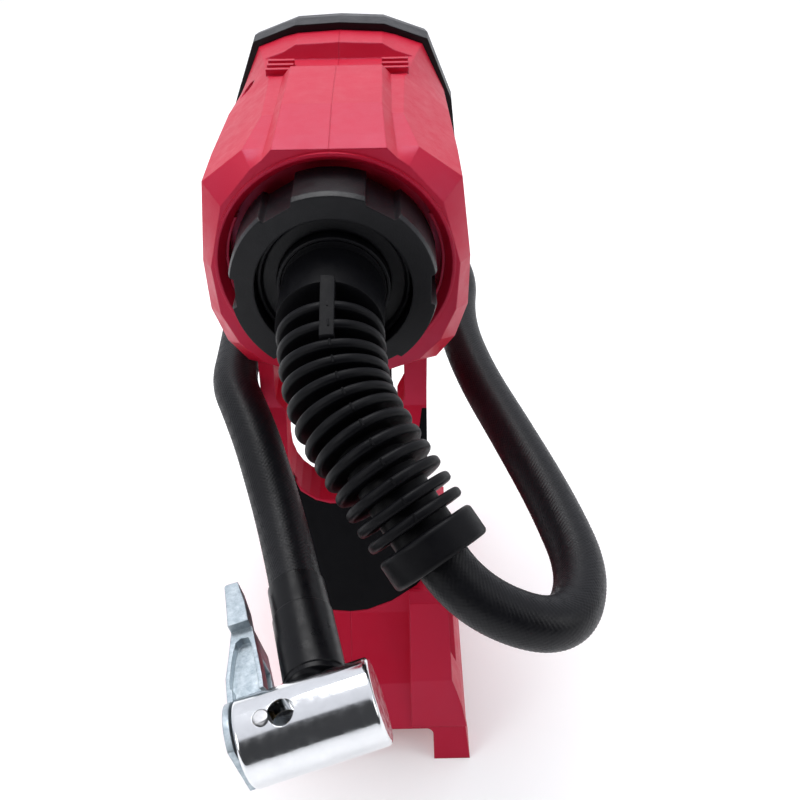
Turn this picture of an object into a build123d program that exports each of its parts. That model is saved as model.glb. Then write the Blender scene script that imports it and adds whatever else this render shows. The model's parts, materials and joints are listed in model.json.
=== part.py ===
from build123d import *
import math
import os

os.makedirs("parts", exist_ok=True)

# Cordless tyre inflator, bare tool. Millimetres, +Z up, nose towards -Y.
# Dimensions are measured from the barrel's front face (y = 0) and from the underside
# of the foot (z = 0); save() moves every piece so that the origin lies under the
# middle of the tool.
MIDDLE_Y = 26.5
AXIS_Z = 173.0         # height of the nose axis and of the motor
WALL = 2.5             # clamshell wall
GAP = 0.2              # play between neighbouring fixed pieces

RECESS_R = 33.8        # round recess in the barrel's front
RING_R = 31.2          # nose ring, over its six lobes
RING_FRONT = -16.0
SOCKET_R = 16.9        # hose socket
BEZEL_FRONT = 95.0
BEZEL_BACK = 110.0

PANEL_TOP = 88.0       # bottom of the hoop's opening
FOOT_HALF = 42.0
CHANNEL_HALF = 20.0    # battery channel behind the front arch
ARCH_HALF = 29.0       # arch between the foot's two front legs
CHANNEL_TOP = 11.0

HOSE_R = 7.5
BOOT_R = 15.6
RIBS = 13
RIB_START = 0.305      # first rib, as a share of the strain relief's length
RIB_STEP = 0.0475

CRANK_Z = 153.0
GEAR_MODULE = 0.8
GEAR_TEETH = 40
PINION_TEETH = 10
BLADE_X = (-10.5, -3.5, 3.5, 10.5)
THROW = 6.0            # crank throw, half of the piston's stroke
CYLINDER_Y = 26.0
BORE_R = 10.0


def save(name, *solids):
    moved = [Pos(0, -MIDDLE_Y, 0) * solid for solid in solids]
    export_step(moved[0] if len(moved) == 1 else Compound(children=moved), f"parts/{name}.step")


def box(x0, x1, y0, y1, z0, z1):
    return Pos((x0 + x1) / 2, (y0 + y1) / 2, (z0 + z1) / 2) * Box(x1 - x0, y1 - y0, z1 - z0)


def rod_y(r, y0, y1, x=0.0, z=AXIS_Z):
    """A cylinder along Y."""
    return Pos(x, (y0 + y1) / 2, z) * Rot(90, 0, 0) * Cylinder(r, y1 - y0)


def rod_x(r, x0, x1, y, z):
    """A cylinder along X."""
    return Pos((x0 + x1) / 2, y, z) * Rot(0, 90, 0) * Cylinder(r, x1 - x0)


def rod_z(r, z0, z1, x, y):
    """A cylinder along Z."""
    return Pos(x, y, (z0 + z1) / 2) * Cylinder(r, z1 - z0)


def cone_y(r0, r1, y0, y1, x=0.0, z=AXIS_Z):
    """A cone along Y, of radius r0 at y0 and r1 at y1."""
    return Pos(x, (y0 + y1) / 2, z) * Rot(-90, 0, 0) * Cone(r0, r1, y1 - y0)


def mirrored(half):
    """A closed outline from its right half, which runs from the top to the bottom."""
    left = [(-x, z) for x, z in reversed(half) if x > 0.001]
    return half + left


def outline_at(y, half):
    return Face(Wire.make_polygon([(x, y, z) for x, z in mirrored(half)], close=True))


def across(profile, x0, x1):
    """A (y, z) outline extruded from x0 to x1."""
    face = Face(Wire.make_polygon([(x0, y, z) for y, z in profile], close=True))
    return extrude(face, amount=x1 - x0, dir=(1, 0, 0))


def through(profile, y0, y1):
    """An (x, z) outline extruded from y0 to y1."""
    face = Face(Wire.make_polygon([(x, y0, z) for x, z in profile], close=True))
    return extrude(face, amount=y1 - y0, dir=(0, 1, 0))


# ---- barrel ------------------------------------------------------------------------

BARREL = {
    0.0: [(0, 210.7), (16.6, 210.7), (19.6, 207.5), (23, 205), (33, 193.5), (38.4, 173),
          (37.4, 156.5), (32.5, 145), (25.5, 137.5), (14, 133), (0, 133)],
    7.0: [(0, 211.9), (16.2, 211.9), (19.4, 208.4), (26, 208), (39, 198.4), (42, 172),
          (41.6, 154.5), (37.6, 142), (31.5, 134), (15, 129.5), (0, 129.5)],
    26.0: [(0, 214.5), (15.4, 214.5), (18.2, 211.2), (21.8, 211), (38.6, 199), (41.6, 172),
           (41, 156), (36.4, 144), (29.5, 136), (15, 131.5), (0, 131.5)],
    60.0: [(0, 214.5), (15.2, 214.5), (18, 211.2), (22.6, 211), (37.4, 199), (40.4, 172),
           (39.8, 158.5), (35, 147), (28, 139.5), (15, 136.5), (0, 136.5)],
    95.0: [(0, 216.2), (15, 215.4), (20, 214.2), (29.5, 210.8), (37.4, 194), (39.6, 172),
           (38.6, 162), (33.5, 149.5), (25, 142), (15, 139.4), (0, 139.4)],
}


def inset(half, gap):
    """The outline drawn in towards its middle by about gap."""
    out = []
    for x, z in half:
        kx = (abs(x) - gap * 1.05) if x > 0.001 else 0.0
        reach = math.hypot(x / 40.0, (z - AXIS_Z) / 40.0)
        kz = AXIS_Z + (z - AXIS_Z) * (1 - gap * 1.05 / (40.0 * max(reach, 0.9)))
        out.append((kx, kz))
    return out


def barrel_outer():
    faces = [outline_at(y, half) for y, half in BARREL.items()]
    body = loft(faces, ruled=True)
    body -= top_recess()
    body += cone_y(36.9, 37.0, -1.2, 2.0)
    body -= cone_y(36.0, 33.8, -1.3, 1.6)
    body -= rod_y(RECESS_R, 1.5, 7.5)
    return body


def top_recess():
    """The hollow across the top, with sloping ends, between the centre panel and the rim."""
    ends = [(-27.5, 222), (-25.5, 211.0), (-20, 210.6), (20, 210.6), (25.5, 211.0), (27.5, 222)]
    cut = through(ends, 61.0, 84.0)
    side = across([(58, 225), (61.5, 209), (79, 209), (88, 225)], -40, 40)
    return cut & side


def vent_fins():
    """Louvre fins in both ends of the top recess."""
    fins = Part()
    for side in (-1, 1):
        for i in range(3):
            y = 64.5 + 4.6 * i
            fins += Pos(side * 19.5, y, 211.2) * Box(9.0, 1.8, 3.0)
    return fins


def barrel_inner():
    ys = [9.5, 26.0, 60.0, 95.5]
    picks = [BARREL[7.0], BARREL[26.0], BARREL[60.0], BARREL[95.0]]
    halves = [inset(half, WALL + 0.2) for half in picks]
    flat = []
    for half in halves:
        top = min(half[0][1], 208.2)
        flat.append([(x, min(z, top)) for x, z in half])
    return loft([outline_at(y, half) for y, half in zip(ys, flat)], ruled=True)


# ---- grip, hoop and foot -------------------------------------------------------------

GUARD_FRONT = [(6, 142), (1, 118), (-12, 90), (-31, 50), (-45, 28), (-52, 11), (-57, 0)]
GUARD_BACK = [(-24, 0), (-24, 30), (-16, 50), (3, 90), (15, 118), (22, 142)]
GUARD_RIGHT = [(28.4, 142), (28.1, 125), (28.0, 90), (28.0, 64), (25.2, 57), (21.6, 29), (21.6, 20)]


def guard_outer():
    """The hoop's two arms, the lower front and the neck, before the opening is cut."""
    left = [(-x, z) for x, z in reversed(GUARD_RIGHT)]
    front = through(GUARD_RIGHT + left, -70, 60)
    return front & across(GUARD_FRONT + GUARD_BACK, -45, 45)


def hoop_side(upper, lower, corner):
    """One side of the opening: half-widths above and below the step, and the corner's radius."""
    side = [(upper, 150), (upper, 121), (lower, 116.5)]
    for i in range(7):
        a = math.radians(15 * i)
        side.append((lower - corner + corner * math.cos(a), PANEL_TOP + corner - corner * math.sin(a)))
    return side


def hoop_opening():
    """The opening between the arms, narrower below its step and round at the bottom."""
    right = hoop_side(20.6, 18.1, 12.0)
    left = [(-x, z) for x, z in reversed(hoop_side(23.2, 20.0, 14.0))]
    return through(right + left, -40, 26)


def foot_outer():
    """The foot: a flared block that narrows to the neck in front and the grip behind."""
    front = [(-45, 28), (-52, 11), (-57, 0), (76, 0), (76, 12), (70, 26), (60, 34), (-24, 34), (-41, 34)]
    block = across(front, -45, 45)
    half = [(21.6, 34), (21.6, 29.5), (40.2, 13.5), (FOOT_HALF, 0)]
    outline = half + [(-x, z) for x, z in reversed(half)]
    plan = [(45, -70), (45, -44.5), (24.6, -42.5), (24.6, -22), (30, 0), (37.6, 25), (38.4, 80)]
    plan += [(-x, y) for x, y in reversed(plan)]
    floor = Face(Wire.make_polygon([(x, y, -1) for x, y in plan], close=True))
    waist = extrude(floor, amount=40, dir=(0, 0, 1))
    return block & through(outline, -70, 90) & waist


def pod_outer():
    """The housing of the adapter store on the right of the neck."""
    outline = [(21, 60), (34.3, 60), (35.0, 46), (35.6, 31), (37.4, 26), (39.4, 19.5), (40.8, 12), (21, 12)]
    side = [(-34.5, 58), (-46.5, 31), (-52, 12), (6, 12), (6, 46), (-6, 60), (-31, 60)]
    return through(outline, -70, 60) & across(side, 0, 60)


def grip_section(y0, y1, half, z):
    corner = min(half * 0.8, 11.0)
    return Pos(0, (y0 + y1) / 2, z) * RectangleRounded(2 * half, y1 - y0, corner)


def grip_outer(gap=0.0):
    low = grip_section(31 + gap, 76 - gap, 15.4 - gap, 26)
    mid = grip_section(29 + gap, 72.5 - gap, 14.2 - gap, 80)
    high = grip_section(25 + gap, 71 - gap, 14.6 - gap, 142)
    return loft([low, mid, high], ruled=True)


def battery_channel():
    arch = box(-ARCH_HALF, ARCH_HALF, -70, -44, -1, CHANNEL_TOP)
    arch = fillet(arch.edges().filter_by(Axis.Y).group_by(Axis.Z)[-1], 2.6)
    channel = box(-CHANNEL_HALF, CHANNEL_HALF, -46, 62, -1, CHANNEL_TOP)
    return arch + channel + box(-22.4, 22.4, -46, 62, 4, 8)


def screw_places():
    return [(18, 136.0), (74, 144.6), (72, 203.0), (63.4, 120.0), (40, 58.0), (-16, 22.0), (66, 22.0)]


def housing_whole():
    body = barrel_outer()
    body += guard_outer() - hoop_opening()
    body += foot_outer() + pod_outer() + grip_outer()
    body -= battery_channel()
    body -= front_panel_seat()
    body -= barrel_inner()
    body -= grip_outer(WALL) & box(-40, 40, 0, 100, 34, 139)
    body -= box(-18.8, 18.8, -20, 58, CHANNEL_TOP + WALL, 34 - WALL)
    body -= neck_hollow()
    body -= box(-9, 9, 36, 62, 30, 36)
    body -= box(-9, 9, 34, 64, 130, 145)
    body -= rod_y(24.4, 6, 12)
    body += vent_fins()
    body += recess_ribs()
    body -= trigger_window()
    body -= pod_cavity()
    body -= terminal_window()
    for y, z in screw_places():
        body += rod_x(4.2, -16, 16, y, z)
    body += box(-16, 16, 70.8, 73.2, 204, 209)
    for y, z in screw_places():
        body -= rod_x(1.6, -14, 14, y, z)
        body -= rod_x(3.1, -45, -6, y, z)
    body -= side_vents()
    return body


def neck_hollow():
    """Space inside the neck between the front panel and the back wall."""
    side = [(-33.5, 36), (-26, 50), (-11, 82), (-3.6, 82), (-18.8, 50), (-26.6, 36)]
    return across(side, -18, 18)


def side_vents():
    """Row of shallow vertical slots on both sides of the barrel."""
    cut = Part()
    for side in (-1, 1):
        for i in range(4):
            cut += Pos(side * 40.4, 84 - 6 * i, 174) * Box(3.0, 2.4, 18)
    return cut


def recess_ribs():
    """Three curved ridges on each side of the wall of the front recess."""
    ribs = Part()
    for i in range(3):
        y = 2.0 + 1.8 * i
        ribs += rod_y(RECESS_R + 0.1, y, y + 0.9) - rod_y(RECESS_R - 0.9, y - 1, y + 2)
    right = box(24, 40, 0, 9, AXIS_Z - 20, AXIS_Z + 16)
    left = box(-40, -24, 0, 9, AXIS_Z - 20, AXIS_Z + 16)
    return ribs & (right + left)


def trigger_window():
    return box(-6.2, 6.2, 18, 36, 104, 129)


def terminal_window():
    return box(-17.2, 17.2, 8, 50, 10, 15)


def pod_cavity():
    return box(25.4, 32.0, -31, -5, 22, 53) + box(31.9, 43, -33.2, -2.8, 24.4, 54.2)


def front_panel_seat():
    """Pocket 2 mm deep that the soft front panel lies in."""
    return panel_shape(0.0)


def panel_shape(gap):
    half = [(26.4, 117 - gap), (29.5, 117 - gap), (29.5, 64 + gap), (28.0, 63.5 + gap)]
    half += [(23.6, 59 + gap), (15, 54 + gap), (6, 51 + gap), (0, 50.5 + gap)]
    left = [(-x, z) for x, z in reversed(half[:-1])]
    half_top = [(6, 86.8), (10.9, 88.0), (16.0, 91.0), (19.8, 98.4), (24.8, 107)]
    top = [(-x, z) for x, z in reversed(half_top)] + half_top
    outline = half + left + [(x, z - gap) for x, z in top]
    y_off = 2.2 - gap
    skin = [(4.5, 124), (-0.4, 116), (-12, 90), (-31, 50), (-40, 36)]
    inner = [(y + y_off, z) for y, z in reversed(skin)]
    outer = [(y - 3, z) for y, z in skin] if gap == 0 else skin
    return through(outline, -60, 40) & across(outer + inner, -45, 45)


def housing_half(whole, side):
    keep = box(0, 60, -80, 130, -5, 230) if side > 0 else box(-60, 0, -80, 130, -5, 230)
    return whole & keep


# ---- nose --------------------------------------------------------------------------

def nose_ring():
    """Lock ring with six lobes round the hose outlet."""
    ring = cone_y(RING_R - 0.6, RING_R, RING_FRONT, RING_FRONT + 2) + rod_y(RING_R, RING_FRONT + 2, 3.0)
    for k in range(6):
        notch = Pos(RING_R + 1.2, 0, 0) * Rot(90, 0, 0) * extrude(
            Polygon((-3.4, -4.6), (-3.4, 4.6), (4, 9.5), (4, -9.5)), 30, both=True)
        ring -= Pos(0, -6, AXIS_Z) * Rot(0, 60 * k, 0) * notch
    ring -= rod_y(24.2, -6.4, 4)
    ring -= cone_y(23.4, 24.2, RING_FRONT - 0.01, -6.3)
    return ring


def nose_plate():
    """Dished plate inside the ring, with the seat of the hose socket."""
    plate = rod_y(24.0, -6, 9.3) + rod_y(22.8, -11.5, -5.9)
    plate -= cone_y(22.0, 21.2, -11.6, -10.2)
    plate -= rod_y(SOCKET_R + 0.2, -12, 9.5)
    return plate + (rod_y(26.6, 9.7, 11.5) - rod_y(SOCKET_R + 0.2, 9.6, 12)) + (
        rod_y(24.0, 9.2, 9.8) - rod_y(SOCKET_R + 0.2, 9, 10))


def hose_socket():
    """Tubular socket that the strain relief plugs into, with a barb for the air tube."""
    socket = rod_y(SOCKET_R, -14, 10.5) - rod_y(15.9, -15, -1)
    socket -= rod_y(3.0, -2, 11)
    socket += rod_y(4.2, 10.4, 11.4) - rod_y(3.0, 10, 12)
    return socket


# ---- hose --------------------------------------------------------------------------

BOOT_ROUTE = [(0, -0.8, 173), (-0.8, -32, 168.5), (2, -51, 158), (13.5, -68.5, 148.6),
              (29.5, -86, 131.5)]
HOSE_ROUTE = [(29.5, -86, 131.5), (36.5, -93.6, 124.1), (62, -95.5, 113), (71.5, -72, 109.5),
              (66.8, -42, 109), (57.6, -8, 110), (46.5, 30, 111), (39, 62, 113.5), (42, 96, 117),
              (30, 124, 119.5), (0, 133, 121), (-30, 122, 122), (-40.5, 92, 122.5), (-38.8, 56, 123.5),
              (-37.4, 22, 125.5), (-37, 2, 126.5), (-27, -22, 123), (-16.1, -55, 111.3),
              (-11.5, -75, 110.5)]
SLEEVE_ROUTE = [(-11.5, -75, 110.5), (-6.2, -98, 109.6), (-4.2, -107.5, 109.2)]


def bends(points):
    """A radius for every corner: 0.45 of its shorter run over the half turn's tangent."""
    radii = []
    for a, b, c in zip(points, points[1:], points[2:]):
        before, after = Vector(*b) - Vector(*a), Vector(*c) - Vector(*b)
        turn = math.radians(before.get_angle(after))
        radii.append(0.45 * min(before.length, after.length) / math.tan(turn / 2))
    return radii


def route(points):
    return FilletPolyline(*[Vector(*p) for p in points], radius=bends(points))


def tube(points, r):
    """A round tube that follows a route of straight runs and tangent arcs."""
    path = route(points)
    start = Plane(origin=path @ 0, z_dir=path % 0)
    return sweep(start * Circle(r), path=path), path


def hose():
    solid, path = tube(HOSE_ROUTE, HOSE_R)
    radii = [round(r, 1) for r in bends(HOSE_ROUTE)]
    share = solid.volume / (math.pi * HOSE_R**2 * path.length)
    print("hose length", round(path.length, 1), "radii", radii, "volume share", round(share, 4))
    return solid


def hose_boot():
    """Strain relief: a bent core with separate ribs, a flat spine and an end collar."""
    boot, path = tube(BOOT_ROUTE, 9.0)
    start = Plane(origin=path @ 0.0, z_dir=path % 0.0)
    boot += (start * Cylinder(15.7, 70)) & box(-30, 30, -30, -13.9, 100, 200)
    boot += rod_y(15.7, -14.2, -1.1)
    for i in range(RIBS):
        t = RIB_START + RIB_STEP * i
        r = BOOT_R - 0.09 * i
        disc = fillet(Cylinder(r, 2.9).edges().filter_by(GeomType.CIRCLE), 1.2)
        seam = Pos(0, r - 0.2, 0) * Box(0.5, 1.0, 2.2)
        boot += Plane(origin=path @ t, x_dir=(1, 0, 0.0001), z_dir=path % t) * (disc + seam)
    t = 0.958
    collar = fillet(Cylinder(14.4, 9.0).edges().filter_by(GeomType.CIRCLE), 1.4)
    boot += Plane(origin=path @ t, z_dir=path % t) * collar
    middle = Plane(origin=path @ 0.35, z_dir=path % 0.35)
    boot += box(-2.4, 1.6, -47, -29, 165, 190) & (middle * Cylinder(BOOT_R, 40))
    boot &= box(-100, 100, -140, -1.1, 50, 250)
    print("boot length", round(path.length, 1), "radii", [round(r, 1) for r in bends(BOOT_ROUTE)])
    return boot


def hose_sleeve():
    """Smooth sleeve with a thicker end at the chuck."""
    sleeve, path = tube(SLEEVE_ROUTE, 8.2)
    cuff = fillet(Cylinder(8.5, 21).edges().filter_by(GeomType.CIRCLE), 0.25)
    return sleeve + Plane(origin=path @ 0.64, z_dir=path % 0.64) * cuff


# ---- air chuck -----------------------------------------------------------------------

CHUCK = (-4.0, -118.5, 109.0)
CHUCK_R = 11.2
PIVOT = (18.2, 12.8)


def chuck_frame():
    """Local frame of the chuck: X towards the mouth, Y towards the hose, Z down."""
    x_dir = Vector(-0.955, -0.18, -0.235).normalized()
    y_hint = Vector(0.12, 0.97, 0.02)
    z_dir = x_dir.cross(y_hint).normalized()
    return Plane(origin=CHUCK, x_dir=x_dir, z_dir=z_dir)


def chuck_rod(r, x0, x1, y=0.0, z=0.0):
    return rod_x(r, x0, x1, y, z)


def chuck_body():
    """Chuck with a keyhole on top, a collar for the sleeve and a lug for the lever's pin."""
    body = chuck_rod(CHUCK_R, -17.4, 18.3)
    body = fillet(body.edges().filter_by(GeomType.CIRCLE), 1.2)
    body += Pos(0, 9.4, 0) * Rot(90, 0, 0) * Cylinder(6.5, 4)
    body += box(13.5, PIVOT[0], 6, PIVOT[1], -1.5, 4.5)
    body += Pos(*PIVOT, 1.5) * Cylinder(2.9, 6.0)
    body -= chuck_rod(6.6, -3, 25)
    body -= chuck_rod(2.2, -14, 0)
    body -= Pos(5.6, -2.6, -9) * Cylinder(3.4, 12)
    body -= box(5.6, 10.6, -3.7, -1.5, -13, -3)
    body -= Pos(10.6, -2.6, -9) * Cylinder(2.15, 12)
    body -= Pos(*PIVOT, 0) * Cylinder(1.3, 20)
    return chuck_frame() * body


def chuck_seal():
    seal = chuck_rod(6.3, 0, 3.6) - chuck_rod(4.2, -1, 10)
    return chuck_frame() * seal


def chuck_core():
    """Hollow pin that opens the tyre valve."""
    pin = chuck_rod(2.0, -2.5, 6.5) - chuck_rod(0.9, 2, 7)
    return chuck_frame() * (pin + chuck_rod(3.8, -2.8, -0.4))


def chuck_pin():
    return chuck_frame() * (Pos(*PIVOT, 1.75) * Cylinder(1.3, 10.1))


def lock_pin():
    """Stub at the narrow end of the keyhole on top of the chuck."""
    stub = Pos(10.6, -2.6, -9.2) * Cylinder(2.0, 4.6)
    return chuck_frame() * fillet(stub.edges().group_by(Axis.Z)[0], 0.4)


def plan_slab(points, z0, z1):
    """An (x, y) outline in the chuck's frame, extruded from z0 to z1."""
    face = Face(Wire.make_polygon([(x, y, z0) for x, y in points], close=True))
    return extrude(face, amount=z1 - z0, dir=(0, 0, 1))


def chuck_lever():
    """Thumb lever: a plate over the chuck's mouth, a pocketed web and a raised thumb pad."""
    web = [(18.1, 32.6), (12.1, 32.6), (11.2, 22.5), (10.6, 15.2), (10.4, 9.5), (20.3, 9.5),
           (20.4, 17), (19.2, 24.6)]
    pocket = [(15.6, 29.4), (13.4, 29.0), (12.7, 26.5), (11.8, 15.2), (11.6, 8.0), (19.2, 8.0),
              (19.3, 16.6), (18.1, 24.3), (17.0, 28.4)]
    pad = [(18.4, 48.6), (14.4, 48.4), (12.9, 40), (12.1, 30.6), (18.1, 30.6), (18.2, 40)]
    lever = plan_slab(web, -6.4, -1.8) - plan_slab(pocket, -7.0, -3.9)
    lower = web[:3] + [(10.6, 12), (20.3, 12)] + web[6:]
    lever += plan_slab(lower, 4.8, 7.0)
    lever += plan_slab([(18.1, 32.6), (12.1, 32.6), (11.4, 24.5), (19.2, 24.5)], -1.9, 4.9)
    pad_slab = plan_slab(pad, -9.2, -3.6)
    pad_slab -= box(10, 20, 30.5, 32.5, -9.3, -6.4)
    lever += fillet(pad_slab.edges().filter_by(Axis.Z).group_by(Axis.Y)[-1], 0.8)
    lever -= chuck_rod(CHUCK_R + 1.1, -20, 18.6)
    disc = chuck_rod(11.0, 18.7, 20.3) & box(18, 21, -7.5, 12, -12, 12)
    lever += disc + box(18.7, 20.3, 4, 13, -6.4, 7.0) - chuck_rod(5.4, 18, 24)
    lever -= Pos(*PIVOT, 1.5) * Cylinder(3.3, 6.6)
    lever -= Pos(*PIVOT, 2.0) * Cylinder(1.38, 10.9)
    return chuck_frame() * lever


# ---- rear --------------------------------------------------------------------------

BEZEL = [(0, 219.0), (16, 218.2), (31.6, 212.6), (40.6, 190), (42.4, 172), (41.2, 160), (35.6, 148.4),
         (26, 140.8), (15.4, 138), (0, 138)]


def bezel_loft(sections):
    """A solid through the bezel's outline, scaled by k about the nose axis, at each y."""
    faces = []
    for y, k in sections:
        faces.append(outline_at(y, [(x * k, AXIS_Z + (z - AXIS_Z) * k) for x, z in BEZEL]))
    return loft(faces, ruled=True)


def rear_bezel():
    body = bezel_loft([(BEZEL_FRONT + GAP, 0.995), (103, 1.0), (BEZEL_BACK, 0.975)])
    body -= bezel_loft([(BEZEL_FRONT, 0.9), (105, 0.9)])
    return body - bezel_loft([(104.9, 0.84), (111, 0.86)])


def display_panel():
    body = bezel_loft([(102.6, 0.893), (104.8, 0.893)])
    body += bezel_loft([(104.7, 0.832), (107.4, 0.832)])
    body -= box(-21, 21, 104.6, 108, 175, 199)
    body -= box(-19, 19, 102, 108, 177, 197)
    for x, z in BUTTONS.values():
        body -= rod_y(4.4, 100, 109, x, z)
    return body


BUTTONS = {
    "power_button": (0, 153.5),
    "plus_button": (17, 163),
    "minus_button": (-17, 163),
    "unit_button": (0, 166),
}


def display_lens():
    return box(-20.8, 20.8, 104.8, 106.8, 175.2, 198.8)


def lcd_module():
    return box(-18.5, 18.5, 99.2, 104.4, 177.4, 196.6)


def display_board():
    board = box(-24, 24, 96.6, 98.2, 148, 200)
    for x, z in BUTTONS.values():
        board += box(x - 2.8, x + 2.8, 98.2, 100.2, z - 2.8, z + 2.8)
    return board


def button(name):
    x, z = BUTTONS[name]
    cap = rod_y(4.2, 102.2, 108.4, x, z)
    cap = fillet(cap.edges().filter_by(GeomType.CIRCLE).group_by(Axis.Y)[-1], 0.6)
    return cap + rod_y(5.2, 101.3, 102.3, x, z)


# ---- grip ---------------------------------------------------------------------------

def grip_cover():
    """Soft pad on the back of the grip."""
    pad = grip_outer(-1.6) - grip_outer(-0.08)
    return pad & box(-20, 20, 56, 90, 44, 112)


def trigger():
    side = [(21.5, 105.0), (20.2, 112), (20.8, 120), (22.6, 128), (33.6, 128), (33.6, 105.0)]
    body = across(side, -5.9, 5.9)
    body = fillet(body.edges().filter_by(Axis.Z, tolerance=20).group_by(Axis.Y)[0], 1.5)
    return body + box(-8.0, 8.0, 32.2, 34.2, 105.0, 128)


def trigger_spring():
    ring = Part()
    for i in range(4):
        ring += Pos(0, 37.2 + 1.7 * i, 122) * Rot(90, 0, 0) * Torus(2.6, 0.45)
    return ring + rod_y(2.6, 36.8, 42.8, 0, 122) - rod_y(2.3, 36, 44, 0, 122)


def trigger_switch():
    body = box(-6, 6, 43, 58, 103, 127)
    return body + box(-2, 2, 37.4, 43.1, 108, 112)


# ---- power ---------------------------------------------------------------------------

def terminal_block():
    block = box(-17, 17, 8.2, 49.8, 10.4, 14.8) - box(-13, 13, 12, 46, 10.3, 12.4)
    block += box(-14, 14, 14, 44, 14.8, 22)
    for x in BLADE_X:
        block -= box(x - 0.55, x + 0.55, 15.9, 34.1, 3.0, 14.1)
    return block


def terminal_blades():
    blades = []
    for x in BLADE_X:
        blades.append(box(x - 0.5, x + 0.5, 16, 34, 3.2, 14.0))
    return blades


# ---- compressor ------------------------------------------------------------------------

def gear(teeth, width, shift=0.0):
    """A spur gear along Y, with its teeth as trapezoids."""
    r = GEAR_MODULE * teeth / 2
    tip, root = r + GEAR_MODULE * 0.85, r - GEAR_MODULE * 1.15
    points = []
    for k in range(teeth):
        a = 360 / teeth * k + shift
        step = 360 / teeth
        for share, rr in ((-0.33, root), (-0.12, tip), (0.12, tip), (0.33, root)):
            t = math.radians(a + share * step)
            points.append((rr * math.sin(t), rr * math.cos(t)))
    return through(points, 0, width)


def motor_can():
    can = rod_y(18, 52, 90) - rod_y(16.4, 53.4, 88.6)
    can -= rod_y(3.2, 50, 92)
    can += rod_y(6, 50.9, 52.2) - rod_y(3.2, 50, 53)
    for k in range(4):
        can -= Pos(0, 84, AXIS_Z) * Rot(0, 45 + 90 * k, 0) * Pos(17, 0, 0) * Box(6, 4, 7)
    return can


def motor_rotor():
    rotor = rod_y(1.6, 40.5, 95.0) + rod_y(14.8, 56, 82)
    for k in range(5):
        rotor -= Pos(0, 69, AXIS_Z) * Rot(0, 72 * k, 0) * Pos(14.6, 0, 0) * Box(3.2, 30, 2.6)
    return rotor


def pinion():
    body = Pos(0, 42.2, AXIS_Z) * gear(PINION_TEETH, 6.0, 180.0 / PINION_TEETH)
    return body - rod_y(1.6, 40, 50)


def cooling_fan():
    fan = rod_y(4, 91.2, 94.2) - rod_y(1.6, 90, 96)
    for k in range(7):
        blade = Pos(9.5, 0, 0) * Rot(28, 0, 0) * Box(13, 0.9, 4.6)
        fan += Pos(0, 92.7, AXIS_Z) * Rot(0, 360 / 7 * k, 0) * blade
    return fan & rod_y(17, 91.0, 94.4)


def crank_gear():
    body = Pos(0, 42.4, CRANK_Z) * gear(GEAR_TEETH, 5.0)
    body -= rod_y(3.0, 42, 48, 0, CRANK_Z)
    for k in range(5):
        a = math.radians(72 * k)
        body -= rod_y(3.0, 42, 48, 9.2 * math.sin(a), CRANK_Z + 9.2 * math.cos(a))
    return body


def crank_shaft():
    shaft = rod_y(3.0, 38.5, 51.4, 0, CRANK_Z)
    web = rod_y(10.5, 39.0, 41.8, 0, CRANK_Z)
    web -= box(-12, 12, 38, 42, CRANK_Z + 1, CRANK_Z + 12) - rod_y(5.5, 37, 43, 0, CRANK_Z + 5)
    return shaft + web + rod_y(2.5, 29.4, 39.2, 0, CRANK_Z + THROW)


def crank_bearing():
    return rod_y(5.4, 48.0, 51.0, 0, CRANK_Z) - rod_y(3.05, 47, 52, 0, CRANK_Z)


def compressor_frame():
    plate = box(-23, 23, 48.0, 50.8, 150, 192) + box(-14, 14, 48.0, 50.8, 140.5, 150)
    plate -= rod_y(6.2, 47, 52) + rod_y(5.45, 47, 52, 0, CRANK_Z)
    for side in (-1, 1):
        plate += box(min(side * 18, side * 20.5), max(side * 18, side * 20.5), 15.5, 48.2, 160, 168.6)
    deck = box(-20.5, 20.5, 14.0, 38.0, 168.6, 171.2) - rod_z(12.7, 168, 172, 0, CYLINDER_Y)
    plate += deck
    for x in (-13, 13):
        plate -= rod_y(1.6, 47, 52, x)
    return plate


def cylinder():
    body = rod_z(12.4, 165.5, 190, 0, CYLINDER_Y)
    for i in range(4):
        z = 174.4 + 3.9 * i
        body += rod_z(14.6, z, z + 1.8, 0, CYLINDER_Y) & box(-15, 15, 13.6, 39.8, 170, 195)
    body += rod_z(14.2, 171.4, 173.4, 0, CYLINDER_Y) & box(-15, 15, 13.6, 37.8, 170, 195)
    return body - rod_z(BORE_R, 160, 195, 0, CYLINDER_Y)


def cylinder_head():
    head = box(-13, 13, 14, 38, 190.1, 198.0)
    head = fillet(head.edges().filter_by(Axis.Z), 3)
    for i in range(5):
        head -= box(-14, 14, 17.0 + 4.4 * i, 18.8 + 4.4 * i, 195.0, 199)
    head += rod_y(3.2, 13.4, 14.4, 0, 193.4)
    return head - rod_y(1.4, 13, 22, 0, 193.4)


def piston():
    body = rod_z(BORE_R - 0.45, 180.4, 187.5, 0, CYLINDER_Y) - rod_z(7.6, 178, 184.6, 0, CYLINDER_Y)
    body -= rod_z(BORE_R + 1, 184.2, 186.0, 0, CYLINDER_Y) - rod_z(BORE_R - 2.2, 184, 186.2, 0, CYLINDER_Y)
    stem = box(-2.6, 2.6, 23.6, 28.4, 165, 185)
    eye = rod_y(5.0, 23.6, 28.4, 0, CRANK_Z + THROW) - rod_y(2.56, 22, 30, 0, CRANK_Z + THROW)
    stem -= rod_y(4.5, 22, 30, 0, CRANK_Z + THROW)
    return body + stem + eye + box(-2.6, 2.6, 23.6, 28.4, 163, 166)


def piston_ring():
    ring = rod_z(BORE_R - 0.06, 184.3, 185.9, 0, CYLINDER_Y)
    return ring - rod_z(BORE_R - 2.1, 183, 187, 0, CYLINDER_Y)


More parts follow.
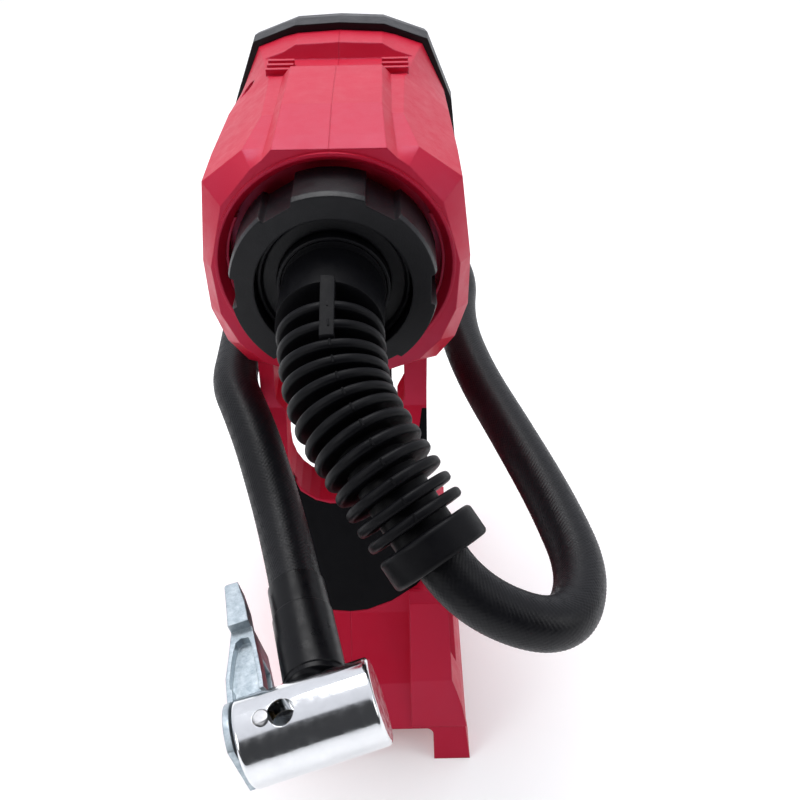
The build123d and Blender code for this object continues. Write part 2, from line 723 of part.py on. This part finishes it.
def air_tube():
    """Flat duct from the cylinder head down to the barb of the hose socket."""
    body = box(-3.4, 3.4, 11.7, 13.3, 173, 196.6) + rod_y(5.6, 10.7, 13.3) - rod_y(4.25, 10.6, 11.6)
    return body - box(-1.6, 1.6, 11.4, 12.8, 172, 194.6) - rod_y(1.4, 12.5, 14, 0, 193.4)


def control_board():
    board = box(-8.6, 8.6, 63.6, 65.2, 50, 98)
    board += box(-7, 7, 58.4, 63.6, 84, 94)
    board += box(-8, -1, 59.6, 63.6, 62, 70)
    board += rod_y(3.2, 56.8, 63.6, 5, 58)
    return board


def pressure_sensor():
    body = box(13.2, 18.2, 22, 30, 191, 197)
    return body + rod_x(1.6, 13.0, 13.4, 26, 194)


# ---- adapter store ------------------------------------------------------------------------

def pod_lid():
    """Door over the adapter store, hinged along its lower edge."""
    shell = box(32.1, 34.2, -33.0, -3.0, 25.9, 54.0) + rod_y(1.2, -32.8, -3.2, 34.0, 26.0)
    for i in range(4):
        shell += box(34.1, 35.0, -28.5 + 6.4 * i, -25.3 + 6.4 * i, 30, 49)
    return shell


def ball_needle():
    return rod_z(1.2, 29, 51, 28.7, -9) + rod_z(3.0, 22.2, 30, 28.7, -9)


def presta_adapter():
    return rod_z(3.0, 22.2, 34, 28.7, -17) - rod_z(1.4, 21, 37, 28.7, -17)


def nozzle_cone():
    return Pos(28.7, -25.5, 35.2) * Cone(3.1, 1.4, 26)


def screws():
    made = []
    for y, z in screw_places():
        screw = rod_x(2.9, -9.0, -6.2, y, z) + rod_x(1.5, -6.4, 11, y, z)
        screw -= Pos(-9.0, y, z) * Box(2.2, 1.0, 3.6)
        screw -= Pos(-9.0, y, z) * Box(2.2, 3.6, 1.0)
        made.append(screw)
    return made


def main():
    whole = housing_whole()
    save("housing_left", housing_half(whole, -1))
    save("housing_right", housing_half(whole, 1))
    save("front_panel", panel_shape(0.15) & guard_outer())
    save("nose_ring", nose_ring())
    save("nose_plate", nose_plate())
    save("hose_socket", hose_socket())
    save("hose_boot", hose_boot())
    save("hose", hose())
    save("hose_sleeve", hose_sleeve())
    save("chuck_body", chuck_body())
    save("chuck_seal", chuck_seal())
    save("chuck_core", chuck_core())
    save("chuck_pin", chuck_pin())
    save("lock_pin", lock_pin())
    save("chuck_lever", chuck_lever())
    save("rear_bezel", rear_bezel())
    save("display_panel", display_panel())
    save("display_lens", display_lens())
    save("lcd_module", lcd_module())
    save("display_board", display_board())
    for name in BUTTONS:
        save(name, button(name))
    save("grip_cover", grip_cover())
    save("trigger", trigger())
    save("trigger_spring", trigger_spring())
    save("trigger_switch", trigger_switch())
    save("terminal_block", terminal_block())
    save("terminal_blades", *terminal_blades())
    save("motor_can", motor_can())
    save("motor_rotor", motor_rotor())
    save("pinion", pinion())
    save("cooling_fan", cooling_fan())
    save("crank_gear", crank_gear())
    save("crank_shaft", crank_shaft())
    save("crank_bearing", crank_bearing())
    save("compressor_frame", compressor_frame())
    save("cylinder", cylinder())
    save("cylinder_head", cylinder_head())
    save("piston", piston())
    save("piston_ring", piston_ring())
    save("air_tube", air_tube())
    save("control_board", control_board())
    save("pressure_sensor", pressure_sensor())
    save("pod_lid", pod_lid())
    save("ball_needle", ball_needle())
    save("presta_adapter", presta_adapter())
    save("nozzle_cone", nozzle_cone())
    save("housing_screws", *screws())


main()
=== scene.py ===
import json
import math

import bpy
import numpy as np
from mathutils import Matrix, Vector


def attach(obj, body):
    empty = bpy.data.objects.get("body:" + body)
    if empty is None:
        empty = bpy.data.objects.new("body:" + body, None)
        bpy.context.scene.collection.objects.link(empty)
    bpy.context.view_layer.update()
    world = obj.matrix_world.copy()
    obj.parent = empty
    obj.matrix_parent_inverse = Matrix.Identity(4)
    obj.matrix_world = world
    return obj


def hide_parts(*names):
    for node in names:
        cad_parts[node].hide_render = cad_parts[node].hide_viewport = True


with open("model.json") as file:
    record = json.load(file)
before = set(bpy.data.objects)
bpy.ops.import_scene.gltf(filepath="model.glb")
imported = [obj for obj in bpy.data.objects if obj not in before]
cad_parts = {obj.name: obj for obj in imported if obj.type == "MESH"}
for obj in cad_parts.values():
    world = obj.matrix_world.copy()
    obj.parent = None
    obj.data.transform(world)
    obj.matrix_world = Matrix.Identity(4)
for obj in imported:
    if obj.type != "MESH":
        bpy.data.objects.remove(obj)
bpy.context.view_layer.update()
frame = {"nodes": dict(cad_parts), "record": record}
nodes = frame["nodes"]

MIDDLE_Y = 0.0265             # from the barrel's front face back to the row frame's origin
CAMERA_AT = (19, -272, 323)   # millimetres, as place() takes them
CAMERA_TILT = 53.4            # degrees up from straight down
CAMERA_ROLL = -1.1
HOSE_DIAMETER = 0.015
CORE_INSET = 0.0002           # how far the hose's core lies inside its nominal surface
BRAID_RELIEF = 0.00028        # height of the braid's strands above the core
BRAID_STRANDS = 32            # strands each way round the hose
BRAID_PITCH = 0.042           # length in which a strand goes once round
TUBE_SIDES = 128              # points in each ring of the hose's mesh
FINE_STEP = 0.00035           # spacing of the rings along the hose
FLOOR_HALF = 6.0
FLOOR_DROP = 0.0002           # keeps the floor off the feet's faces
WHITE = (1.0, 1.0, 1.0)
BLACK = (0.0, 0.0, 0.0)


def place(x, y, z):
    """A point given in millimetres from the barrel's front face, in the row frame in metres."""
    return Vector((x / 1000, y / 1000 - MIDDLE_Y, z / 1000))


# ---- camera ----------------------------------------------------------------------------

def add_camera():
    data = bpy.data.cameras.new("camera")
    data.lens = 45.0
    data.sensor_width = 36.0
    data.clip_start = 0.01
    data.clip_end = 20
    cam = bpy.data.objects.new("camera", data)
    bpy.context.scene.collection.objects.link(cam)
    tilt = Matrix.Rotation(math.radians(CAMERA_TILT), 4, "X")
    roll = Matrix.Rotation(math.radians(CAMERA_ROLL), 4, "Z")
    cam.matrix_world = Matrix.Translation(place(*CAMERA_AT)) @ tilt @ roll
    bpy.context.scene.camera = cam


# ---- materials -------------------------------------------------------------------------

def four(value):
    """A number as it is, and a colour with its alpha of 1."""
    if isinstance(value, tuple) and len(value) == 3:
        return (*value, 1.0)
    return value


class Nodes:
    """Short hand for building one material's node tree."""

    def __init__(self, name):
        self.mat = bpy.data.materials.new(name)
        self.mat.use_nodes = True
        self.tree = self.mat.node_tree
        self.tree.nodes.clear()
        out = self.add("ShaderNodeOutputMaterial")
        self.bsdf = self.add("ShaderNodeBsdfPrincipled")
        self.link(self.bsdf.outputs[0], out.inputs[0])
        coords = self.add("ShaderNodeTexCoord")
        self.place = coords.outputs["Object"]

    def add(self, kind, **values):
        node = self.tree.nodes.new(kind)
        for key, value in values.items():
            setattr(node, key, value)
        return node

    def link(self, a, b):
        self.tree.links.new(a, b)

    def noise(self, scale, detail=3.0, rough=0.55, stretch=None):
        node = self.add("ShaderNodeTexNoise")
        node.inputs["Scale"].default_value = scale
        node.inputs["Detail"].default_value = detail
        node.inputs["Roughness"].default_value = rough
        source = self.place
        if stretch:
            mapping = self.add("ShaderNodeMapping")
            mapping.inputs["Scale"].default_value = stretch
            self.link(source, mapping.inputs["Vector"])
            source = mapping.outputs[0]
        self.link(source, node.inputs["Vector"])
        return node.outputs["Fac"]

    def cells(self, scale):
        node = self.add("ShaderNodeTexVoronoi", feature="F1")
        node.inputs["Scale"].default_value = scale
        self.link(self.place, node.inputs["Vector"])
        return node.outputs["Distance"]

    def ramp(self, source, stops):
        node = self.add("ShaderNodeValToRGB")
        ramp = node.color_ramp
        while len(ramp.elements) < len(stops):
            ramp.elements.new(0.5)
        for element, (at, value) in zip(ramp.elements, stops):
            element.position = at
            element.color = four(value)
        self.link(source, node.inputs[0])
        return node.outputs[0]

    def spots(self, source, start, end):
        """White where the source is over end, black where it is under start."""
        return self.ramp(source, [(0.0, BLACK), (start, BLACK), (end, WHITE), (1.0, WHITE)])

    def spread(self, source, low, high, into_low=0.3, into_high=0.7):
        """The source, from into_low to into_high, moved to lie from low to high."""
        node = self.add("ShaderNodeMapRange")
        node.inputs["From Min"].default_value = into_low
        node.inputs["From Max"].default_value = into_high
        node.inputs["To Min"].default_value = low
        node.inputs["To Max"].default_value = high
        self.link(source, node.inputs["Value"])
        return node.outputs[0]

    def give(self, socket, value):
        """Link another node's output to the socket, or set a constant on it."""
        if isinstance(value, bpy.types.NodeSocket):
            self.link(value, socket)
        else:
            socket.default_value = four(value)

    def mix(self, fac, a, b):
        node = self.add("ShaderNodeMix", data_type="RGBA")
        for index, value in ((0, fac), (6, a), (7, b)):
            self.give(node.inputs[index], value)
        return node.outputs[2]

    def times(self, source, factor):
        node = self.add("ShaderNodeMath", operation="MULTIPLY")
        self.link(source, node.inputs[0])
        node.inputs[1].default_value = factor
        return node.outputs[0]

    def edges(self, radius):
        """The normal with every sharp edge rounded to this radius."""
        node = self.add("ShaderNodeBevel", samples=4)
        node.inputs["Radius"].default_value = radius
        return node.outputs[0]

    def bump(self, height, distance, strength=0.5, before=None):
        """The normal bumped by the height, on top of the normal from before."""
        node = self.add("ShaderNodeBump")
        node.inputs["Strength"].default_value = strength
        node.inputs["Distance"].default_value = distance
        self.link(height, node.inputs["Height"])
        if before is not None:
            self.link(before, node.inputs["Normal"])
        return node.outputs[0]

    def finish(self, **values):
        """Set the shader's sockets, with _ for a space in their names."""
        for key, value in values.items():
            self.give(self.bsdf.inputs[key.replace("_", " ")], value)
        return self.mat


def moulded(name, dark, light, rough, grain=0.00003, size=2600.0, spec=0.5, tint=WHITE):
    """Moulded plastic: fine spark-eroded grain, slow colour drift and scuffed gloss."""
    n = Nodes(name)
    drift = n.noise(28.0, 4.0)
    fine = n.noise(size, 2.0)
    pits = n.cells(size * 0.7)
    colour = n.mix(drift, dark, light)
    gloss = n.spread(n.noise(190.0, 5.0, 0.7), rough - 0.07, rough + 0.09)
    first = n.bump(pits, grain, 0.5, n.edges(0.0007))
    normal = n.bump(fine, grain * 1.3, 0.6, first)
    return n.finish(Base_Color=colour, Roughness=gloss, Normal=normal, Specular_IOR_Level=spec,
                    Specular_Tint=tint)


def elastomer(name, dark, light, rough, grain=0.00004, spec=0.1):
    """Soft moulded rubber with a little dust on it."""
    n = Nodes(name)
    dust = n.spots(n.noise(900.0, 5.0, 0.7), 0.66, 0.74)
    base = n.mix(n.noise(60.0, 4.0), dark, light)
    colour = n.mix(n.times(dust, 0.1), base, (0.12, 0.12, 0.13))
    gloss = n.spread(n.noise(260.0, 4.0, 0.7), rough - 0.08, rough + 0.1)
    normal = n.bump(n.noise(2100.0, 3.0), grain, 0.6, n.edges(0.0004))
    return n.finish(Base_Color=colour, Roughness=gloss, Normal=normal, Specular_IOR_Level=spec)


def metal(name, dark, light, rough, streak=(1.0, 1.0, 1.0), grain=0.00001, size=500.0):
    """Machined or cast metal, with its marks stretched by streak."""
    n = Nodes(name)
    tone = n.mix(n.noise(240.0, 5.0, 0.65), dark, light)
    lines = n.noise(size, 3.0, 0.6, streak)
    gloss = n.spread(lines, rough - 0.04, rough + 0.04)
    normal = n.bump(lines, grain, 0.5, n.edges(0.0003))
    return n.finish(Base_Color=tone, Metallic=1.0, Roughness=gloss, Normal=normal)


def braid_material():
    """Woven black cover, whose strands are in the hose's mesh."""
    n = Nodes("hose_braid")
    tint = n.noise(420.0, 3.0)
    colour = n.mix(tint, (0.002, 0.002, 0.003), (0.008, 0.008, 0.01))
    gloss = n.spread(n.noise(1500.0, 2.0), 0.3, 0.48)
    threads = n.bump(n.noise(5200.0, 2.0), 0.00003, 0.6)
    return n.finish(Base_Color=colour, Roughness=gloss, Normal=threads, Specular_IOR_Level=0.2)


def chrome_material():
    """Bright plate over a slightly wavy casting, with small dull spots."""
    n = Nodes("chrome")
    tone = n.mix(n.noise(160.0, 5.0, 0.7), (0.62, 0.63, 0.65), (0.84, 0.85, 0.86))
    spots = n.spots(n.noise(1300.0, 4.0, 0.7), 0.7, 0.76)
    colour = n.mix(n.times(spots, 0.5), tone, (0.3, 0.3, 0.32))
    gloss = n.spread(n.noise(420.0, 5.0, 0.7), 0.07, 0.22, 0.35, 0.75)
    normal = n.bump(n.noise(170.0, 3.0, 0.6), 0.00012, 0.35, n.edges(0.0003))
    return n.finish(Base_Color=colour, Metallic=1.0, Roughness=gloss, Normal=normal)


def zinc_material():
    """Cloudy blue-grey zinc plate on a rough casting."""
    n = Nodes("zinc")
    cloud = n.noise(330.0, 6.0, 0.75)
    stops = [(0.25, (0.2, 0.25, 0.29)), (0.5, (0.4, 0.46, 0.5)), (0.75, (0.62, 0.67, 0.7))]
    colour = n.ramp(cloud, stops)
    gloss = n.spread(n.noise(800.0, 5.0, 0.7), 0.26, 0.5)
    first = n.bump(n.noise(700.0, 5.0, 0.7), 0.00008, before=n.edges(0.0005))
    normal = n.bump(n.noise(2600.0, 3.0), 0.00003, before=first)
    return n.finish(Base_Color=colour, Metallic=0.85, Roughness=gloss, Normal=normal)


def lens_material():
    """Smoked window with faint smears."""
    n = Nodes("lens")
    smear = n.noise(90.0, 4.0)
    gloss = n.spread(smear, 0.03, 0.12)
    colour = n.mix(smear, (0.02, 0.03, 0.03), (0.03, 0.045, 0.042))
    return n.finish(Base_Color=colour, Roughness=gloss, Transmission_Weight=0.55, IOR=1.49)


def board_material():
    """Circuit board with tracks between its pads."""
    n = Nodes("board")
    tracks = n.add("ShaderNodeTexBrick")
    tracks.inputs["Scale"].default_value = 330.0
    tracks.inputs["Color1"].default_value = (0.012, 0.11, 0.04, 1)
    tracks.inputs["Color2"].default_value = (0.02, 0.16, 0.06, 1)
    tracks.inputs["Mortar"].default_value = (0.25, 0.3, 0.12, 1)
    tracks.inputs["Mortar Size"].default_value = 0.05
    n.link(n.place, tracks.inputs["Vector"])
    gloss = n.spread(n.noise(700.0), 0.25, 0.42)
    return n.finish(Base_Color=tracks.outputs[0], Roughness=gloss, Normal=n.bump(n.noise(900.0), 0.00003))


def make_materials():
    """One material for each material slot of the record."""
    return {
        "shell_red": moulded("shell_red", (0.45, 0.003, 0.02), (0.54, 0.006, 0.028), 0.42,
                             spec=0.4, tint=(0.55, 0.6, 1.0)),
        "trim_black": moulded("trim_black", (0.003, 0.003, 0.004), (0.006, 0.006, 0.008), 0.37,
                              grain=0.00004, size=2000.0, spec=0.22),
        "soft_black": elastomer("soft_black", (0.002, 0.002, 0.003), (0.005, 0.005, 0.006), 0.42),
        "hose_braid": braid_material(),
        "sleeve_black": elastomer("sleeve_black", (0.002, 0.002, 0.003), (0.005, 0.005, 0.006), 0.32,
                                  grain=0.00002, spec=0.15),
        "chrome": chrome_material(),
        "zinc": zinc_material(),
        "steel": metal("steel", (0.42, 0.42, 0.43), (0.6, 0.6, 0.61), 0.3, streak=(1, 8, 1)),
        "aluminium": metal("aluminium", (0.55, 0.56, 0.57), (0.72, 0.73, 0.74), 0.42,
                           grain=0.00003, size=1100.0),
        "brass": metal("brass", (0.58, 0.4, 0.15), (0.76, 0.57, 0.27), 0.28),
        "panel_black": moulded("panel_black", (0.008, 0.008, 0.01), (0.015, 0.015, 0.018), 0.25,
                               grain=0.00001, size=3200.0),
        "lens": lens_material(),
        "board": board_material(),
        "button_grey": elastomer("button_grey", (0.15, 0.15, 0.16), (0.22, 0.22, 0.23), 0.5),
        "natural": moulded("natural", (0.6, 0.57, 0.48), (0.72, 0.7, 0.61), 0.42,
                           grain=0.00002, size=1500.0),
    }


def dress_nodes(made):
    """Give every CAD node the material of its slot."""
    for part in frame["record"]["subparts"]:
        obj = nodes[part["node"]]
        obj.data.materials.clear()
        obj.data.materials.append(made[part["material_slot"]])


# ---- hose ------------------------------------------------------------------------------

# Control points of the hose, in millimetres: from the strain relief, round the right side,
# behind the grip, and past the hoop's left arm to the sleeve.
HOSE = [(29.5, -86, 131.5), (36.5, -93.6, 124.1), (62, -95.5, 113), (71.5, -72, 109.5),
        (66.8, -42, 109), (57.6, -8, 110), (46.5, 30, 111), (41, 62, 113.5), (45, 94, 117),
        (30, 124, 119.5), (0, 133, 121), (-30, 122, 122), (-40.5, 92, 122.5), (-38.8, 56, 123.5),
        (-37.4, 22, 125.5), (-37.3, 4.2, 126.2), (-31.8, -9.9, 125.4), (-25.5, -26, 121.5),
        (-16.1, -55, 111.3), (-11.5, -75, 110.5)]


def smooth_line(name, points):
    """The points of an order-3 NURBS line with these control points."""
    data = bpy.data.curves.new(name, "CURVE")
    data.dimensions = "3D"
    data.resolution_u = 24    # points between two control points
    spline = data.splines.new("NURBS")
    spline.points.add(len(points) - 1)
    for point, at in zip(spline.points, points):
        point.co = (*place(*at), 1.0)
    spline.order_u = 3
    spline.use_endpoint_u = True
    obj = bpy.data.objects.new(name, data)
    bpy.context.scene.collection.objects.link(obj)
    bpy.context.view_layer.update()
    mesh = bpy.data.meshes.new_from_object(obj)
    line = np.array([v.co for v in mesh.vertices])
    bpy.data.objects.remove(obj)
    bpy.data.curves.remove(data)
    bpy.data.meshes.remove(mesh)
    return line


def even(line, step):
    """The line resampled at an even spacing of about step."""
    runs = np.linalg.norm(np.diff(line, axis=0), axis=1)
    far = np.concatenate([[0.0], np.cumsum(runs)])
    count = max(2, round(far[-1] / step))
    at = np.linspace(0, far[-1], count + 1)
    return np.stack([np.interp(at, far, line[:, k]) for k in range(3)], axis=1), at


def rings(points):
    """A pair of unit vectors across the line at each point, turning as little as possible."""
    ahead = np.gradient(points, axis=0)
    ahead /= np.linalg.norm(ahead, axis=1)[:, None]
    side = np.cross(ahead[0], (0, 0, 1.0))
    sides = []
    for d in ahead:
        side = side - d * np.dot(side, d)
        side = side / np.linalg.norm(side)
        sides.append(side)
    sides = np.array(sides)
    return sides, np.cross(ahead, sides)


def braid(turns, along):
    """Height of a two-over, two-under braid, from 0 to 1."""
    a = BRAID_STRANDS * (turns + along / BRAID_PITCH)
    b = BRAID_STRANDS * (turns - along / BRAID_PITCH)
    over = ((np.floor(a) + np.floor(b)) % 4) < 2
    ridge_a = np.abs(np.sin(np.pi * (a % 1.0))) ** 0.8
    ridge_b = np.abs(np.sin(np.pi * (b % 1.0))) ** 0.8
    return np.where(over, 0.35 * ridge_b + 0.65 * ridge_a, 0.35 * ridge_a + 0.65 * ridge_b)


def tube_mesh(name, line, radius, around, relief):
    """A closed tube whose radius at each point is radius + relief(turns, along)."""
    points, along = line
    side, up = rings(points)
    turns = np.arange(around) / around
    angle = 2 * math.pi * turns
    r = radius + relief(turns[None, :], along[:, None])
    across = np.cos(angle)[None, :, None] * side[:, None]
    above = np.sin(angle)[None, :, None] * up[:, None]
    verts = (points[:, None] + r[..., None] * (across + above)).reshape(-1, 3)
    n = len(points)
    i = np.arange(n - 1)[:, None] * around
    j = np.arange(around)[None, :]
    k = (j + 1) % around
    faces = np.stack([i + j, i + k, i + around + k, i + around + j], axis=-1).reshape(-1, 4)
    ends = [list(range(around))[::-1], list(range((n - 1) * around, n * around))]
    mesh = bpy.data.meshes.new(name)
    mesh.from_pydata(verts.tolist(), [], faces.tolist() + ends)
    mesh.update()
    obj = bpy.data.objects.new(name, mesh)
    bpy.context.scene.collection.objects.link(obj)
    mesh.shade_smooth()
    return obj


def add_hose(made):
    """The braided hose on its smooth line, which stands for the CAD tube."""
    line = smooth_line("hose_line", HOSE)
    points, along = even(line, FINE_STEP)
    core = HOSE_DIAMETER / 2 - CORE_INSET
    hose = tube_mesh("hose_tube", (points, along), core, TUBE_SIDES,
                     lambda turns, at: BRAID_RELIEF * braid(turns, at))
    hose.data.materials.append(made["hose_braid"])
    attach(hose, "tool")
    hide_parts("hose")


# ---- stage -----------------------------------------------------------------------------

def add_stage():
    """A plain pale floor that glows a little, so that shadows stay faint."""
    mesh = bpy.data.meshes.new("floor")
    corners = [(-1, -1), (1, -1), (1, 1), (-1, 1)]
    mesh.from_pydata([(FLOOR_HALF * x, FLOOR_HALF * y, 0) for x, y in corners], [], [(0, 1, 2, 3)])
    floor = bpy.data.objects.new("floor", mesh)
    floor.location.z = -FLOOR_DROP
    bpy.context.scene.collection.objects.link(floor)
    n = Nodes("floor")
    tone = n.mix(n.noise(3.0), (0.86, 0.86, 0.86), (0.9, 0.9, 0.9))
    mesh.materials.append(n.finish(Base_Color=tone, Roughness=0.9, Specular_IOR_Level=0.1,
                                   Emission_Color=WHITE, Emission_Strength=0.2))


def add_light(name, energy, size, at, aim):
    """A rectangular soft box of this size, pointed at aim."""
    data = bpy.data.lights.new(name, "AREA")
    data.energy = energy
    data.shape = "RECTANGLE"
    data.size, data.size_y = size
    light = bpy.data.objects.new(name, data)
    light.location = at
    light.rotation_euler = (Vector(aim) - Vector(at)).to_track_quat("-Z", "Y").to_euler()
    bpy.context.scene.collection.objects.link(light)


def add_world():
    """A studio dome: bright above and behind, dark in front, and plain white to the camera."""
    world = bpy.data.worlds.new("world")
    bpy.context.scene.world = world
    world.use_nodes = True
    tree = world.node_tree
    back = tree.nodes["Background"]
    coords = tree.nodes.new("ShaderNodeTexCoord")
    dot = tree.nodes.new("ShaderNodeVectorMath")
    dot.operation = "DOT_PRODUCT"
    dot.inputs[1].default_value = (-0.1, 0.74, 0.66)
    ramp = tree.nodes.new("ShaderNodeValToRGB")
    stops = ((0.0, 0.06), (0.16, 0.1), (0.30, 0.9), (1.0, 1.05))
    while len(ramp.color_ramp.elements) < len(stops):
        ramp.color_ramp.elements.new(0.5)
    for element, (at, value) in zip(ramp.color_ramp.elements, stops):
        element.position = at
        element.color = (0.96 * value, 0.98 * value, 1.05 * value, 1)
    seen = tree.nodes.new("ShaderNodeLightPath")
    mix = tree.nodes.new("ShaderNodeMix")
    mix.data_type = "RGBA"
    mix.inputs[7].default_value = (0.95, 0.95, 0.95, 1)
    tree.links.new(coords.outputs["Generated"], dot.inputs[0])
    tree.links.new(dot.outputs["Value"], ramp.inputs[0])
    tree.links.new(seen.outputs["Is Camera Ray"], mix.inputs[0])
    tree.links.new(ramp.outputs[0], mix.inputs[6])
    tree.links.new(mix.outputs[2], back.inputs[0])
    back.inputs[1].default_value = 1.0


def add_lights():
    add_light("key", 6.0, (0.7, 0.5), (-0.1, 0.35, 0.95), (0, 0, 0.15))
    add_light("fill", 3.5, (0.6, 0.6), (-0.8, -0.6, 0.7), (0, 0, 0.1))
    add_light("side", 2.0, (0.5, 0.5), (0.9, -0.3, 0.5), (0, 0, 0.1))


made = make_materials()
add_camera()
add_hose(made)
dress_nodes(made)
add_stage()
add_world()
add_lights()
bpy.context.scene.view_settings.view_transform = "Standard"
